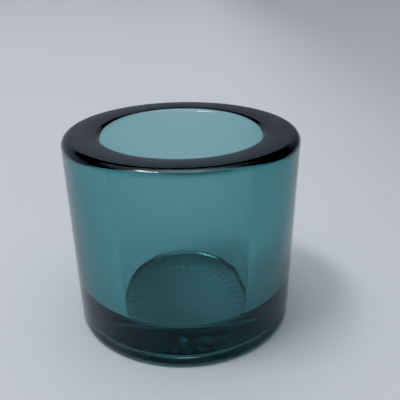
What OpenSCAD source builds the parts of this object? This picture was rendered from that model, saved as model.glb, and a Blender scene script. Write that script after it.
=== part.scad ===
// Tealight holder: one thick-walled tumbler of pressed coloured glass.
// Millimetres, +Z up. The origin is the middle of the foot, on the surface it stands on.
// The outside and the cavity are both cones that open upwards, as a plunger mould leaves them.

/* [Body] */
// Overall height, foot to rim
body_h = 60; // [45:1:90]
// Outer diameter at the rim
rim_d = 70; // [58:1:100]
// Lean of the outer wall from upright, in degrees
wall_draft = 1; // [0:0.25:4]
// Thickness of the glass under the cavity
floor_t = 8; // [5:0.5:14]

/* [Cavity] */
// Diameter of the tealight cup that stands in the cavity
tealight_d = 38.5; // [36:0.5:48]
// Gap all round between the tealight cup and the foot of the cavity wall
tealight_gap = 1.75; // [0.5:0.25:4]
// Lean of the cavity wall from upright, in degrees
cavity_draft = 3.1; // [0.5:0.1:5]

/* [Edges] */
// Distance of the rim's crest, its highest ring, from the outer wall
crest_w = 4; // [3.5:0.25:5.5]
// Radius of the gentle crown that falls from the crest to both edges of the rim
crown_r = 45; // [30:1:120]
// Radius of the rim's outer edge, where the crown meets the wall
rim_edge_r = 2.5; // [0.5:0.1:3]
// Radius of the mouth's edge
mouth_edge_r = 2; // [0.5:0.1:3]
// Radius of the heel, where the outer wall meets the foot
heel_r = 2; // [1:0.25:5]
// Radius of the hollow corner between the cavity's wall and floor
floor_corner_r = 1.5; // [0.5:0.25:4]

/* [Underside] */
// Width of the flat foot ring that touches the table
foot_w = 7; // [3:0.5:9]
// Depth of the recess inside the foot ring
recess_t = 0.6; // [0.5:0.1:2]
// Radius of the foot ring's inner edge
foot_edge_r = 0.4; // [0.2:0.1:1]

/* [Grip ring] */
// Number of raised bars moulded in a ring on the recessed face
bar_count = 40; // [12:1:60]
// Width of a bar
bar_w = 1.1; // [0.5:0.1:1.5]
// Length of a bar, towards the middle
bar_l = 6; // [3:0.5:9]
// Height of a bar
bar_h = 0.15; // [0.1:0.05:0.4]
// Gap between the foot ring and the bars
bar_gap = 3; // [1:0.5:4]

/* [Hidden] */
round_fn = 120;
lathe_fn = 180;
sink = 0.2; // how far a bar runs up into the glass it stands on

rim_r = rim_d / 2;
foot_r = rim_r - body_h * tan(wall_draft);
cavity_r = tealight_d / 2 + tealight_gap;
mouth_r = cavity_r + (body_h - floor_t) * tan(cavity_draft);

// Centre's distance from the axis for an edge of radius r that touches a leaning wall from inside the
// cone: wall_r is the wall's radius at the centre's height, lean its angle from upright.
function inside_wall(wall_r, r, lean) = wall_r - r / cos(lean);
// The same for an edge that touches the cone from outside, as the mouth's edge does
function outside_wall(wall_r, r, lean) = wall_r + r / cos(lean);
// Point where an edge of radius r and centre c meets a wall that leans by lean
function wall_touch(c, r, lean) = c + r * [cos(lean), -sin(lean)];
// Upper height at which the line of slope t through [x0, 0] crosses a circle of radius r and centre c
function line_on_circle(x0, t, c, r) =
    let(a = 1 + t * t, b = t * (x0 - c.x) - c.y, d = pow(x0 - c.x, 2) + c.y * c.y - r * r)
    (sqrt(b * b - a * d) - b) / a;

heel_c = [inside_wall(foot_r + heel_r * tan(wall_draft), heel_r, wall_draft), heel_r];
// A narrow rim takes smaller edges, so that part of the crown is always left between them
rim_land = rim_r - mouth_r;
rim_edge = min(rim_edge_r, 0.4 * rim_land);
mouth_edge = min(mouth_edge_r, 0.4 * rim_land);
// The crown's circle has its top at the crest; the circles of the rim's two edges touch it from within,
// and each touches its own wall
crown_c = [rim_r - min(crest_w, 0.5 * rim_land), body_h - crown_r];
edge_x0 = inside_wall(foot_r, rim_edge, wall_draft);
edge_z = line_on_circle(edge_x0, tan(wall_draft), crown_c, crown_r - rim_edge);
rim_c = [edge_x0 + edge_z * tan(wall_draft), edge_z];
mouth_x0 = outside_wall(cavity_r - floor_t * tan(cavity_draft), mouth_edge, cavity_draft);
mouth_z = line_on_circle(mouth_x0, tan(cavity_draft), crown_c, crown_r - mouth_edge);
mouth_c = [mouth_x0 + mouth_z * tan(cavity_draft), mouth_z];
crown_out = crown_c + (rim_c - crown_c) * crown_r / (crown_r - rim_edge);
crown_in = crown_c + (mouth_c - crown_c) * crown_r / (crown_r - mouth_edge);
corner_c = [
    inside_wall(cavity_r + floor_corner_r * tan(cavity_draft), floor_corner_r, cavity_draft),
    floor_t + floor_corner_r
];
recess_r = heel_c.x - foot_w;
// A shallow recess takes a smaller inner edge
foot_edge = min(foot_edge_r, 0.8 * recess_t);
foot_edge_c = [recess_r + foot_edge, foot_edge];
bar_outer_r = recess_r - bar_gap;

// Half section of the glass, right of the axis. Straight runs join the points where the round edges
// start and end; the discs then fill the four round edges and clear the hollow corner.
module half_section() {
    difference() {
        union() {
            polygon([
                [0, recess_t],
                [recess_r, recess_t],
                [recess_r, foot_edge],
                [foot_edge_c.x, 0],
                [heel_c.x, 0],
                wall_touch(heel_c, heel_r, wall_draft),
                wall_touch(rim_c, rim_edge, wall_draft),
                crown_out,
                crown_in,
                wall_touch(mouth_c, -mouth_edge, cavity_draft),
                wall_touch(corner_c, floor_corner_r, cavity_draft),
                [corner_c.x, floor_t],
                [0, floor_t]
            ]);
            round_edge(foot_edge_c, foot_edge);
            round_edge(heel_c, heel_r);
            round_edge(rim_c, rim_edge);
            round_edge(mouth_c, mouth_edge);
            crown();
        }
        round_edge(corner_c, floor_corner_r);
    }
}

module round_edge(c, r) {
    translate(c) circle(r = r, $fn = round_fn);
}

// The part of the crown's circle that stands above the straight run between its two ends
module crown() {
    intersection() {
        round_edge(crown_c, crown_r);
        polygon([crown_in, crown_out, [crown_out.x, body_h + 1], [crown_in.x, body_h + 1]]);
    }
}

// Ring of short raised bars on the recessed face, like the grip ring under a moulded jar
module grip_ring() {
    for (i = [0:bar_count - 1])
        rotate(i * 360 / bar_count)
            translate([bar_outer_r - bar_l, -bar_w / 2, recess_t - bar_h])
                cube([bar_l, bar_w, bar_h + sink]);
}

module glass_body() {
    color([0.24, 0.47, 0.5, 0.7])
        union() {
            rotate_extrude($fn = lathe_fn) half_section();
            grip_ring();
        }
}

glass_body();
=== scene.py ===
"""Looks of the tealight holder: a thick tumbler of pressed teal glass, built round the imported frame."""

import logging
import math
from collections.abc import Callable
from dataclasses import dataclass
from enum import Enum

import bmesh
import bpy
from mathutils import Matrix, Vector, noise


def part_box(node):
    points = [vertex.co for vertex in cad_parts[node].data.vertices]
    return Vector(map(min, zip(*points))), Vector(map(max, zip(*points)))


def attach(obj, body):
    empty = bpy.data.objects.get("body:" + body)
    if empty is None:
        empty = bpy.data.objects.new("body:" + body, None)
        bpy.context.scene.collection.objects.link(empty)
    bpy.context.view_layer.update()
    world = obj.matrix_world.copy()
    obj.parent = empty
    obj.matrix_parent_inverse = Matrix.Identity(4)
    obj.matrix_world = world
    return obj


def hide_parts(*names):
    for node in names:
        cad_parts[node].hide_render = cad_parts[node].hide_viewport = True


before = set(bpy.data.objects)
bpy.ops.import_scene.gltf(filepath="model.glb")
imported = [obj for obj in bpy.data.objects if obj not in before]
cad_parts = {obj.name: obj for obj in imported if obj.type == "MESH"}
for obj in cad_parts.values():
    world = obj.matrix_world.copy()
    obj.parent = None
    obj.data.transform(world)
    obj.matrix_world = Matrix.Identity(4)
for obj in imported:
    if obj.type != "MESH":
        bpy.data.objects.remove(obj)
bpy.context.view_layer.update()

LOG = logging.getLogger("tealight_holder")
MM = 0.001
SMOOTH_ANGLE = math.radians(40)
GLASS_NODE = "glass_body"

Element = bmesh.types.BMVert | bmesh.types.BMEdge | bmesh.types.BMFace


# ---------------------------------------------------------------- mesh helpers


class Pick(Enum):
    """What an edit-mode selection is made of."""

    VERTS = "VERT"
    EDGES = "EDGE"
    FACES = "FACE"


def start_edit(piece: bpy.types.Object) -> None:
    """Make piece the only selected object and open it in edit mode.

    Args:
        piece: The mesh object to work on.
    """
    if bpy.context.mode != "OBJECT":
        bpy.ops.object.mode_set(mode="OBJECT")
    bpy.ops.object.select_all(action="DESELECT")
    piece.select_set(True)
    bpy.context.view_layer.objects.active = piece
    bpy.ops.object.mode_set(mode="EDIT")


def end_edit() -> None:
    """Leave edit mode."""
    bpy.ops.object.mode_set(mode="OBJECT")


def choose(piece: bpy.types.Object, kind: Pick, test: Callable[[Element], bool]) -> int:
    """Select the elements of a mesh in edit mode whose middle and direction pass a test.

    Args:
        piece: The mesh object, already in edit mode.
        kind: Whether vertices, edges or faces are chosen.
        test: Called with a bmesh element, returns True for the ones to select.

    Returns:
        How many elements were selected.
    """
    bpy.ops.mesh.select_mode(type=kind.value)
    bpy.ops.mesh.select_all(action="DESELECT")
    shape = bmesh.from_edit_mesh(piece.data)
    groups = {Pick.VERTS: shape.verts, Pick.EDGES: shape.edges, Pick.FACES: shape.faces}
    count = 0
    for element in groups[kind]:
        if test(element):
            element.select_set(True)
            count += 1
    shape.select_flush_mode()
    bmesh.update_edit_mesh(piece.data)
    return count


def radius_of(point: Vector) -> float:
    """Distance of a point from the holder's axis."""
    return math.hypot(point.x, point.y)


def ring_edge(radius: float, height: float, slack: float = 0.05 * MM) -> Callable[[Element], bool]:
    """Test for the edges that run round the axis at one radius and height.

    Args:
        radius: Distance of the edge's ends from the axis.
        height: Height of the edge above the foot.
        slack: How far off an end may be.

    Returns:
        A function that tells whether a bmesh edge lies on that ring.
    """

    def test(edge: bmesh.types.BMEdge) -> bool:
        """Tell whether both ends lie on the ring."""
        return all(
            abs(radius_of(v.co) - radius) < slack and abs(v.co.z - height) < slack for v in edge.verts
        )

    return test


def disc_face(height: float, sides: int) -> Callable[[Element], bool]:
    """Test for the one many-sided face that lies flat at a height.

    Args:
        height: Height of the face above the foot.
        sides: The least number of corners it has.

    Returns:
        A function that tells whether a bmesh face is that disc.
    """

    def test(face: bmesh.types.BMFace) -> bool:
        """Tell whether the face is the disc."""
        return len(face.verts) >= sides and abs(face.calc_center_median().z - height) < 0.02 * MM

    return test


# ---------------------------------------------------------------- the glass


@dataclass
class TumblerSizes:
    """Sizes of the pressed tumbler, in metres, with the outer ones taken from the frame."""

    height: float
    rim_radius: float
    wall_draft: float = math.radians(1.0)
    floor_thickness: float = 8.0 * MM
    cavity_radius: float = 21.0 * MM
    cavity_draft: float = math.radians(3.1)
    roll_width: float = 4.0 * MM
    roll_radius: float = 45.0 * MM
    rim_edge: float = 2.5 * MM
    mouth_edge: float = 2.0 * MM
    heel: float = 2.0 * MM
    floor_corner: float = 1.5 * MM
    foot_width: float = 7.0 * MM
    recess_depth: float = 0.6 * MM
    foot_edge: float = 0.4 * MM
    bar_gap: float = 3.0 * MM
    bar_length: float = 6.0 * MM
    bar_height: float = 0.15 * MM

    @classmethod
    def around(cls, low: Vector, high: Vector) -> "TumblerSizes":
        """Take the outer sizes from the frame's box.

        Args:
            low: Lowest corner of the box.
            high: Highest corner of the box.

        Returns:
            The sizes, with the wall carried up past its widest point, where the rim's edge begins.
        """
        past_edge = cls.rim_edge * math.tan(cls.wall_draft)
        return cls(height=high.z - low.z, rim_radius=(high.x - low.x) / 2 + past_edge)

    @property
    def foot_radius(self) -> float:
        """Radius of the outer wall carried down to the table."""
        return self.rim_radius - self.height * math.tan(self.wall_draft)

    @property
    def mouth_radius(self) -> float:
        """Radius of the cavity wall carried up to the rim."""
        depth = self.height - self.floor_thickness - self.mouth_drop
        return self.cavity_radius + depth * math.tan(self.cavity_draft)

    @property
    def crown_inside(self) -> float:
        """How far the rim's crown runs inwards from its crest to the mouth."""
        rise = (self.height - self.floor_thickness) * math.tan(self.cavity_draft)
        return self.rim_radius - self.roll_width - self.cavity_radius - rise

    @property
    def mouth_drop(self) -> float:
        """How far the crown has fallen where it meets the mouth."""
        return self.roll_radius - math.sqrt(self.roll_radius**2 - self.crown_inside**2)

    @property
    def roll_drop(self) -> float:
        """How far the crown has rolled down where it meets the wall."""
        return self.roll_radius - math.sqrt(self.roll_radius**2 - self.roll_width**2)

    @property
    def mouth_edge_reach(self) -> float:
        """How far the mouth's rounding runs back from the corner it takes away."""
        turn = math.pi / 2 - self.cavity_draft - math.asin(self.crown_inside / self.roll_radius)
        return self.mouth_edge * math.tan(turn / 2)

    @property
    def rim_edge_reach(self) -> float:
        """How far the outer edge's rounding runs in from the corner it takes away."""
        turn = math.pi / 2 - self.wall_draft - math.asin(self.roll_width / self.roll_radius)
        return self.rim_edge * math.tan(turn / 2)

    @property
    def recess_radius(self) -> float:
        """Radius of the recess inside the foot ring."""
        return self.foot_radius - self.heel - self.foot_width


@dataclass
class PressedTumbler:
    """The one piece of the holder, shaped the way a plunger mould leaves it."""

    sizes: TumblerSizes
    sides: int = 240
    wall_cuts: int = 47
    corner_segments: int = 8
    bar_pitch_sides: int = 6
    bar_sides: int = 2
    drag_depth: float = 0.06 * MM
    wave_depth: float = 0.05 * MM
    fade_height: float = 6.0 * MM
    disc_rings: int = 5
    disc_ring_width: float = 2.0 * MM
    seam: float = 0.1 * MM

    def build(self) -> bpy.types.Object:
        """Shape the whole tumbler.

        Returns:
            The finished mesh object.
        """
        piece = self._blank()
        self._press_cavity(piece)
        self._recess_foot(piece)
        self._round_edges(piece)
        self._grip_ring(piece)
        self._divide_walls(piece)
        self._mould_marks(piece)
        self._finish(piece)
        return piece

    def _blank(self) -> bpy.types.Object:
        """Turn a plain cylinder into the solid cone of the outside."""
        s = self.sizes
        bpy.ops.object.select_all(action="DESELECT")
        bpy.ops.mesh.primitive_cylinder_add(
            vertices=self.sides,
            radius=s.foot_radius,
            depth=s.height - s.roll_drop,
            end_fill_type="NGON",
            location=(0, 0, (s.height - s.roll_drop) / 2),
        )
        piece = bpy.context.active_object
        piece.name = "glass_tumbler"
        bpy.ops.object.transform_apply(location=True, rotation=True, scale=True)
        start_edit(piece)
        choose(piece, Pick.FACES, disc_face(s.height - s.roll_drop, self.sides))
        spread = s.rim_radius / s.foot_radius
        bpy.ops.transform.resize(value=(spread, spread, 1))
        self._roll_rim()
        end_edit()
        return piece

    def _roll_rim(self) -> None:
        """Carry the selected top face inwards and up to the crest, along the crown's arc."""
        s = self.sizes
        first_reach = s.roll_width - s.rim_edge_reach - self.seam
        reach, rise = s.roll_width, 0.0
        for step in range(self.corner_segments + 1):
            next_reach = first_reach * (1 - step / self.corner_segments)
            next_rise = math.sqrt(s.roll_radius**2 - next_reach**2) - (s.roll_radius - s.roll_drop)
            bpy.ops.mesh.inset(thickness=reach - next_reach)
            bpy.ops.transform.translate(value=(0, 0, next_rise - rise))
            reach, rise = next_reach, next_rise

    def _press_cavity(self, piece: bpy.types.Object) -> None:
        """Carry the crown down to the mouth, and sink the cavity, narrowing towards its floor."""
        s = self.sizes
        start_edit(piece)
        choose(piece, Pick.FACES, disc_face(s.height, self.sides))
        last_reach = s.crown_inside - s.mouth_edge_reach - self.seam
        reaches = [last_reach * step / self.corner_segments for step in range(1, self.corner_segments + 1)]
        reach, drop = 0.0, 0.0
        for next_reach in (*reaches, s.rim_radius - s.roll_width - s.mouth_radius):
            next_drop = s.roll_radius - math.sqrt(s.roll_radius**2 - next_reach**2)
            bpy.ops.mesh.inset(thickness=next_reach - reach)
            bpy.ops.transform.translate(value=(0, 0, drop - next_drop))
            reach, drop = next_reach, next_drop
        depth = s.height - s.floor_thickness - drop
        bpy.ops.mesh.extrude_region_move(TRANSFORM_OT_translate={"value": (0, 0, -depth)})
        narrowing = s.cavity_radius / s.mouth_radius
        bpy.ops.transform.resize(value=(narrowing, narrowing, 1))
        end_edit()

    def _recess_foot(self, piece: bpy.types.Object) -> None:
        """Raise the middle of the underside so that only a flat foot ring touches the table."""
        s = self.sizes
        start_edit(piece)
        choose(piece, Pick.FACES, disc_face(0.0, self.sides))
        bpy.ops.mesh.inset(thickness=s.foot_radius - s.recess_radius)
        bpy.ops.mesh.extrude_region_move(TRANSFORM_OT_translate={"value": (0, 0, s.recess_depth)})
        end_edit()

    def _round_edges(self, piece: bpy.types.Object) -> None:
        """Round every turned edge to its own radius."""
        s = self.sizes
        start_edit(piece)
        rounds = (
            (s.rim_radius, s.height - s.roll_drop, s.rim_edge_reach),
            (s.mouth_radius, s.height - s.mouth_drop, s.mouth_edge_reach),
            (s.cavity_radius, s.floor_thickness, s.floor_corner),
            (s.foot_radius, 0.0, s.heel),
            (s.recess_radius, 0.0, s.foot_edge),
        )
        for radius, height, size in rounds:
            found = choose(piece, Pick.EDGES, ring_edge(radius, height))
            if found != self.sides:
                raise RuntimeError(f"expected a ring of {self.sides} edges, found {found}")
            bpy.ops.mesh.bevel(
                offset=size, segments=self.corner_segments, profile=0.5, affect="EDGES", offset_type="OFFSET"
            )
        end_edit()

    def _grip_ring(self, piece: bpy.types.Object) -> None:
        """Raise a ring of plain bars on the recessed face."""
        s = self.sizes
        start_edit(piece)
        choose(piece, Pick.FACES, disc_face(s.recess_depth, self.sides))
        bpy.ops.mesh.inset(thickness=s.bar_gap)
        bpy.ops.mesh.inset(thickness=s.bar_length)
        outer = s.recess_radius - s.bar_gap
        middle = outer - s.bar_length / 2

        def on_bar(face: bmesh.types.BMFace) -> bool:
            """Tell whether a face belongs to one of the bars."""
            spot = face.calc_center_median()
            if len(face.verts) != 4 or abs(spot.z - s.recess_depth) > 0.02 * MM:
                return False
            if abs(radius_of(spot) - middle) > s.bar_length / 4:
                return False
            side = int(math.degrees(math.atan2(spot.y, spot.x)) % 360 / (360 / self.sides))
            return side % self.bar_pitch_sides < self.bar_sides

        found = choose(piece, Pick.FACES, on_bar)
        LOG.info("grip ring: %d faces raised", found)
        for inset, rise in ((0.2 * MM, 0.65), (0.15 * MM, 0.35)):
            bpy.ops.mesh.inset(thickness=inset, depth=0)
            bpy.ops.transform.translate(value=(0, 0, -s.bar_height * rise))
        end_edit()

    def _divide_walls(self, piece: bpy.types.Object) -> None:
        """Cut both tall walls and both discs into enough rings to carry the mould's marks."""
        s = self.sizes
        start_edit(piece)
        low = s.floor_thickness + 2 * s.floor_corner
        high = s.height - s.roll_drop - s.rim_edge - s.mouth_edge

        def tall(edge: bmesh.types.BMEdge) -> bool:
            """Tell whether an edge runs up one of the walls."""
            ends = sorted(v.co.z for v in edge.verts)
            return ends[0] < low and ends[1] > high

        choose(piece, Pick.EDGES, tall)
        bpy.ops.mesh.subdivide(number_cuts=self.wall_cuts)
        for height in (s.recess_depth, s.floor_thickness):
            choose(piece, Pick.FACES, disc_face(height, self.sides))
            for _ in range(self.disc_rings):
                bpy.ops.mesh.inset(thickness=self.disc_ring_width)
            bpy.ops.mesh.poke()
        end_edit()

    def _mould_marks(self, piece: bpy.types.Object) -> None:
        """Move the skin by hundredths of a millimetre, as the plunger's drag and cooling leave it."""
        s = self.sizes
        shape = bmesh.new()
        shape.from_mesh(piece.data)
        for vert in shape.verts:
            radius = radius_of(vert.co)
            if radius < 1 * MM:
                continue
            out = Vector((vert.co.x, vert.co.y, 0)).normalized()
            up_wall = min(1.0, max(0.0, (vert.co.z - s.floor_thickness - 2 * MM) / self.fade_height))
            below_rim = min(1.0, max(0.0, (s.height - 2 * MM - vert.co.z) / self.fade_height))
            fade = up_wall * below_rim
            if radius < s.mouth_radius + 0.2 * MM and vert.co.z > s.floor_thickness:
                streak = noise.noise(Vector((out.x * 4, out.y * 4, vert.co.z / (28 * MM))))
                fine = noise.noise(Vector((out.x * 12 + 7, out.y * 12, vert.co.z / (60 * MM))))
                vert.co += out * (streak + 0.35 * fine) * self.drag_depth * fade
            elif radius > s.foot_radius - 2 * MM:
                fade = min(1.0, max(0.0, (vert.co.z - 3 * MM) / self.fade_height)) * below_rim
                wave = noise.noise(vert.co / (14 * MM) + Vector((3.1, 8.2, 5.7)))
                vert.co += out * wave * self.wave_depth * fade
        shape.to_mesh(piece.data)
        shape.free()

    def _finish(self, piece: bpy.types.Object) -> None:
        """Shade the skin smooth, apart from real corners."""
        bpy.ops.object.select_all(action="DESELECT")
        piece.select_set(True)
        bpy.context.view_layer.objects.active = piece
        bpy.ops.object.shade_smooth_by_angle(angle=SMOOTH_ANGLE)


# ---------------------------------------------------------------- finishes


@dataclass(frozen=True)
class SharedEffect:
    """A small node group that turns a position into one value, for any finish to use."""

    name: str
    scale: float
    low: float
    high: float
    stretch: tuple[float, float, float] = (1.0, 1.0, 1.0)
    detail: float = 3.0
    start: float = 0.4
    stop: float = 0.7

    def group(self) -> bpy.types.ShaderNodeTree:
        """Build the group, or hand back the one already built.

        Returns:
            A group with a Position input and a Value output between low and high.
        """
        if self.name in bpy.data.node_groups:
            return bpy.data.node_groups[self.name]
        tree = bpy.data.node_groups.new(self.name, "ShaderNodeTree")
        tree.interface.new_socket("Position", in_out="INPUT", socket_type="NodeSocketVector")
        tree.interface.new_socket("Value", in_out="OUTPUT", socket_type="NodeSocketFloat")
        entry = tree.nodes.new("NodeGroupInput")
        leave = tree.nodes.new("NodeGroupOutput")
        mapping = tree.nodes.new("ShaderNodeMapping")
        mapping.inputs["Scale"].default_value = self.stretch
        cloud = tree.nodes.new("ShaderNodeTexNoise")
        cloud.inputs["Scale"].default_value = self.scale
        cloud.inputs["Detail"].default_value = self.detail
        spread = tree.nodes.new("ShaderNodeMapRange")
        spread.interpolation_type = "SMOOTHSTEP"
        for socket, value in (
            ("From Min", self.start),
            ("From Max", self.stop),
            ("To Min", self.low),
            ("To Max", self.high),
        ):
            spread.inputs[socket].default_value = value
        tree.links.new(entry.outputs["Position"], mapping.inputs["Vector"])
        tree.links.new(mapping.outputs["Vector"], cloud.inputs["Vector"])
        tree.links.new(cloud.outputs["Fac"], spread.inputs["Value"])
        tree.links.new(spread.outputs["Result"], leave.inputs["Value"])
        return tree

    def place(self, tree: bpy.types.ShaderNodeTree) -> bpy.types.NodeSocket:
        """Put the group into a material's tree, fed with the piece's own coordinates.

        Args:
            tree: The material's node tree.

        Returns:
            The group's Value output.
        """
        where = tree.nodes.new("ShaderNodeTexCoord")
        node = tree.nodes.new("ShaderNodeGroup")
        node.node_tree = self.group()
        tree.links.new(where.outputs["Object"], node.inputs["Position"])
        return node.outputs["Value"]


@dataclass(frozen=True)
class TealGlass:
    """Clear glass, coloured through, with a faintly handled and rippled skin."""

    name: str = "teal_glass"
    ior: float = 1.52
    through_colour: tuple[float, float, float] = (0.014, 0.543, 0.557)
    density: float = 80.0
    smudges: SharedEffect = SharedEffect("touch_smudges", scale=70.0, low=0.0, high=0.05, start=0.5, stop=0.75)
    ripple: SharedEffect = SharedEffect(
        "plunger_ripple", scale=110.0, low=0.0, high=1.0, stretch=(1, 1, 0.25), detail=1.0, start=0.2, stop=0.8
    )
    ripple_depth: float = 0.02 * MM

    def make(self) -> bpy.types.Material:
        """Build the material.

        Returns:
            A material whose colour comes from the depth of glass that light crosses.
        """
        material = bpy.data.materials.new(self.name)
        material.use_nodes = True
        tree = material.node_tree
        tree.nodes.clear()
        out = tree.nodes.new("ShaderNodeOutputMaterial")
        skin = tree.nodes.new("ShaderNodeBsdfPrincipled")
        skin.inputs["Base Color"].default_value = (1, 1, 1, 1)
        skin.inputs["Transmission Weight"].default_value = 1.0
        skin.inputs["IOR"].default_value = self.ior
        tree.links.new(self.smudges.place(tree), skin.inputs["Roughness"])
        bump = tree.nodes.new("ShaderNodeBump")
        bump.inputs["Distance"].default_value = self.ripple_depth
        tree.links.new(self.ripple.place(tree), bump.inputs["Height"])
        tree.links.new(bump.outputs["Normal"], skin.inputs["Normal"])
        depth = tree.nodes.new("ShaderNodeVolumeAbsorption")
        depth.inputs["Color"].default_value = (*self.through_colour, 1)
        depth.inputs["Density"].default_value = self.density
        tree.links.new(skin.outputs["BSDF"], out.inputs["Surface"])
        tree.links.new(depth.outputs["Volume"], out.inputs["Volume"])
        return material


@dataclass(frozen=True)
class StageFinish:
    """Dull paper for the floor, a little uneven, its colour darkened towards the right as painted shade."""

    name: str
    colour: tuple[float, float, float]
    roughness: float
    painted_shade_share: float = 1.0
    fibre: SharedEffect = SharedEffect("stage_fibre", scale=900.0, low=0.0, high=1.0, start=0.3, stop=0.7)

    def make(self) -> bpy.types.Material:
        """Build the material.

        Returns:
            A matt material; painted shade darkens its colour towards the right, down to a set share of itself.
        """
        material = bpy.data.materials.new(self.name)
        material.use_nodes = True
        tree = material.node_tree
        paint = tree.nodes["Principled BSDF"]
        where = tree.nodes.new("ShaderNodeTexCoord")
        split = tree.nodes.new("ShaderNodeSeparateXYZ")
        tree.links.new(where.outputs["Object"], split.inputs[0])
        # painted shade: the floor's colour falls off towards +X, standing in for the shade on that side
        painted_shade_ramp = tree.nodes.new("ShaderNodeMapRange")
        painted_shade_ramp.interpolation_type = "SMOOTHSTEP"
        for socket, value in (("From Min", 0.03), ("From Max", 0.24), ("To Min", 0.0), ("To Max", 1.0)):
            painted_shade_ramp.inputs[socket].default_value = value
        tree.links.new(split.outputs["X"], painted_shade_ramp.inputs["Value"])
        # mixes the plain floor colour with its darkened copy, the painted shade
        painted_shade_mix = tree.nodes.new("ShaderNodeMix")
        painted_shade_mix.data_type = "RGBA"
        painted_shade_mix.inputs["A"].default_value = (*self.colour, 1)
        painted_shade_mix.inputs["B"].default_value = (*(part * self.painted_shade_share for part in self.colour), 1)
        tree.links.new(painted_shade_ramp.outputs["Result"], painted_shade_mix.inputs["Factor"])
        tree.links.new(painted_shade_mix.outputs["Result"], paint.inputs["Base Color"])
        paint.inputs["Roughness"].default_value = self.roughness
        bump = tree.nodes.new("ShaderNodeBump")
        bump.inputs["Strength"].default_value = 0.25
        bump.inputs["Distance"].default_value = 0.1 * MM
        tree.links.new(self.fibre.place(tree), bump.inputs["Height"])
        tree.links.new(bump.outputs["Normal"], paint.inputs["Normal"])
        return material


# ---------------------------------------------------------------- studio


@dataclass(frozen=True)
class SoftBox:
    """One large soft lamp, aimed at the holder."""

    name: str
    azimuth: float
    elevation: float
    distance: float
    size: tuple[float, float]
    power: float
    colour: tuple[float, float, float] = (1.0, 1.0, 1.0)

    def hang(self, aim_height: float) -> None:
        """Hang the lamp and turn it to the holder.

        Args:
            aim_height: Height above the table of the point it is aimed at.
        """
        lamp = bpy.data.lights.new(self.name, "AREA")
        lamp.shape = "RECTANGLE"
        lamp.size, lamp.size_y = self.size
        lamp.energy = self.power
        lamp.color = self.colour
        holder = bpy.data.objects.new(self.name, lamp)
        bpy.context.scene.collection.objects.link(holder)
        turn, rise = math.radians(self.azimuth), math.radians(self.elevation)
        away = Vector((math.sin(turn) * math.cos(rise), math.cos(turn) * math.cos(rise), math.sin(rise)))
        aim = Vector((0, 0, aim_height))
        holder.location = aim + away * self.distance
        holder.rotation_euler = (-away).to_track_quat("-Z", "Y").to_euler()


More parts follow.
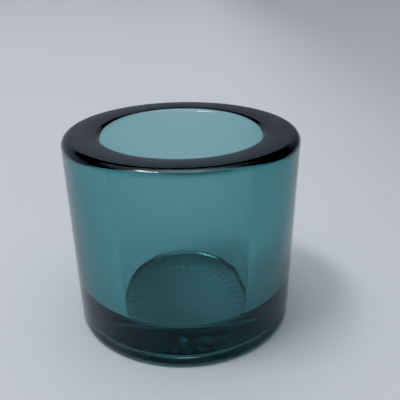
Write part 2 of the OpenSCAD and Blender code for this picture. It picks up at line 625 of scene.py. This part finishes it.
@dataclass
class Studio:
    """Pale floor, soft light and the camera."""

    floor_colour: tuple[float, float, float] = (0.78, 0.81, 0.89)
    sky: tuple[tuple[float, float], ...] = (
        (0, 0.28),
        (24, 0.28),
        (31, 0.04),
        (42, 0.05),
        (52, 0.45),
        (62, 0.6),
        (70, 1.5),
        (90, 1.5),
    )
    sky_tint: tuple[float, float, float] = (1.0, 1.02, 1.03)
    horizon_tint: tuple[float, float, float] = (0.92, 1.02, 1.2)
    horizon_top: float = 31
    left_strength: float = 1.6
    right_strength: float = 0.45
    aim_height: float = 30 * MM
    black_level: float = 0.016
    camera_distance: float = 175.12 * MM
    camera_rise: float = 26.02
    camera_turns: tuple[float, float, float] = (1.77, 2.06, -1.51)
    focal_share: float = 551.4 / 400
    sensor: float = 36
    lamps: tuple[SoftBox, ...] = (
        SoftBox("key", azimuth=-110, elevation=68, distance=2.2, size=(0.75, 0.32), power=11),
    )

    def floor(self) -> None:
        """Lay the pale floor."""
        bpy.ops.mesh.primitive_plane_add(size=6, location=(0, 0, -0.1 * MM))
        plane = bpy.context.active_object
        plane.name = "floor"
        # the floor carries painted shade, its colour falling to 0.72 of itself towards the right
        plane.data.materials.append(StageFinish("floor", self.floor_colour, 0.9, painted_shade_share=0.72).make())

    def room(self) -> None:
        """Fill the room with light: dim round the horizon, dark above it, bright overhead and on the left."""
        world = bpy.data.worlds.new("room")
        bpy.context.scene.world = world
        world.use_nodes = True
        tree = world.node_tree
        back = tree.nodes["Background"]
        where = tree.nodes.new("ShaderNodeTexCoord")
        split = tree.nodes.new("ShaderNodeSeparateXYZ")
        tree.links.new(where.outputs["Generated"], split.inputs[0])
        ramp = tree.nodes.new("ShaderNodeValToRGB")
        marks = ramp.color_ramp.elements
        while len(marks) < len(self.sky):
            marks.new(0.5)
        for mark, (height, level) in zip(marks, self.sky):
            mark.position = math.sin(math.radians(height))
            tint = self.horizon_tint if height <= self.horizon_top else self.sky_tint
            mark.color = (*(level * part for part in tint), 1)
        tree.links.new(split.outputs["Z"], ramp.inputs["Fac"])
        side = tree.nodes.new("ShaderNodeMapRange")
        side.inputs["From Min"].default_value = -1
        side.inputs["To Min"].default_value = self.left_strength
        side.inputs["To Max"].default_value = self.right_strength
        tree.links.new(split.outputs["X"], side.inputs["Value"])
        tree.links.new(ramp.outputs["Color"], back.inputs["Color"])
        tree.links.new(side.outputs["Result"], back.inputs["Strength"])

    def light(self) -> None:
        """Hang every lamp."""
        for lamp in self.lamps:
            lamp.hang(self.aim_height)

    def print_look(self) -> None:
        """Set a plain display with a slightly deepened black, as a product picture is printed."""
        view = bpy.context.scene.view_settings
        view.view_transform = "Standard"
        view.use_curve_mapping = True
        view.curve_mapping.black_level = (self.black_level,) * 3
        view.curve_mapping.update()

    def camera(self) -> None:
        """Stand the camera close by, looking down into the mouth."""
        rise = math.radians(self.camera_rise)
        pan, tilt, roll = (math.radians(turn) for turn in self.camera_turns)
        back, up_by = self.camera_distance * math.cos(rise), self.camera_distance * math.sin(rise)
        place = Vector((0, -back, self.aim_height + up_by))
        ahead = Vector((0, math.cos(rise), -math.sin(rise)))
        right = Vector((1, 0, 0))
        up = right.cross(ahead)
        ahead = ahead * math.cos(pan) + right * math.sin(pan)
        right = ahead.cross(up)
        ahead = ahead * math.cos(tilt) + up * math.sin(tilt)
        up = right.cross(ahead)
        right = right * math.cos(roll) + up * math.sin(roll)
        up = right.cross(ahead)
        lens = bpy.data.cameras.new("camera")
        stand = bpy.data.objects.new("camera", lens)
        bpy.context.scene.collection.objects.link(stand)
        stand.matrix_world = Matrix.Translation(place) @ Matrix((right, up, -ahead)).transposed().to_4x4()
        lens.sensor_width = self.sensor
        lens.lens = self.focal_share * self.sensor
        lens.clip_start = 0.005
        bpy.context.scene.camera = stand


def main() -> None:
    """Build the holder and its setting, in order."""
    logging.basicConfig(level=logging.INFO, format="%(name)s: %(message)s")
    low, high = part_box(GLASS_NODE)
    studio = Studio()
    studio.camera()
    tumbler = PressedTumbler(TumblerSizes.around(low, high))
    glass = tumbler.build()
    glass.data.materials.clear()
    glass.data.materials.append(TealGlass().make())
    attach(glass, "root")
    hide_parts(GLASS_NODE)
    LOG.info("glass_tumbler: %d faces", len(glass.data.polygons))
    studio.floor()
    studio.room()
    studio.light()
    studio.print_look()


if __name__ == "__main__":
    main()
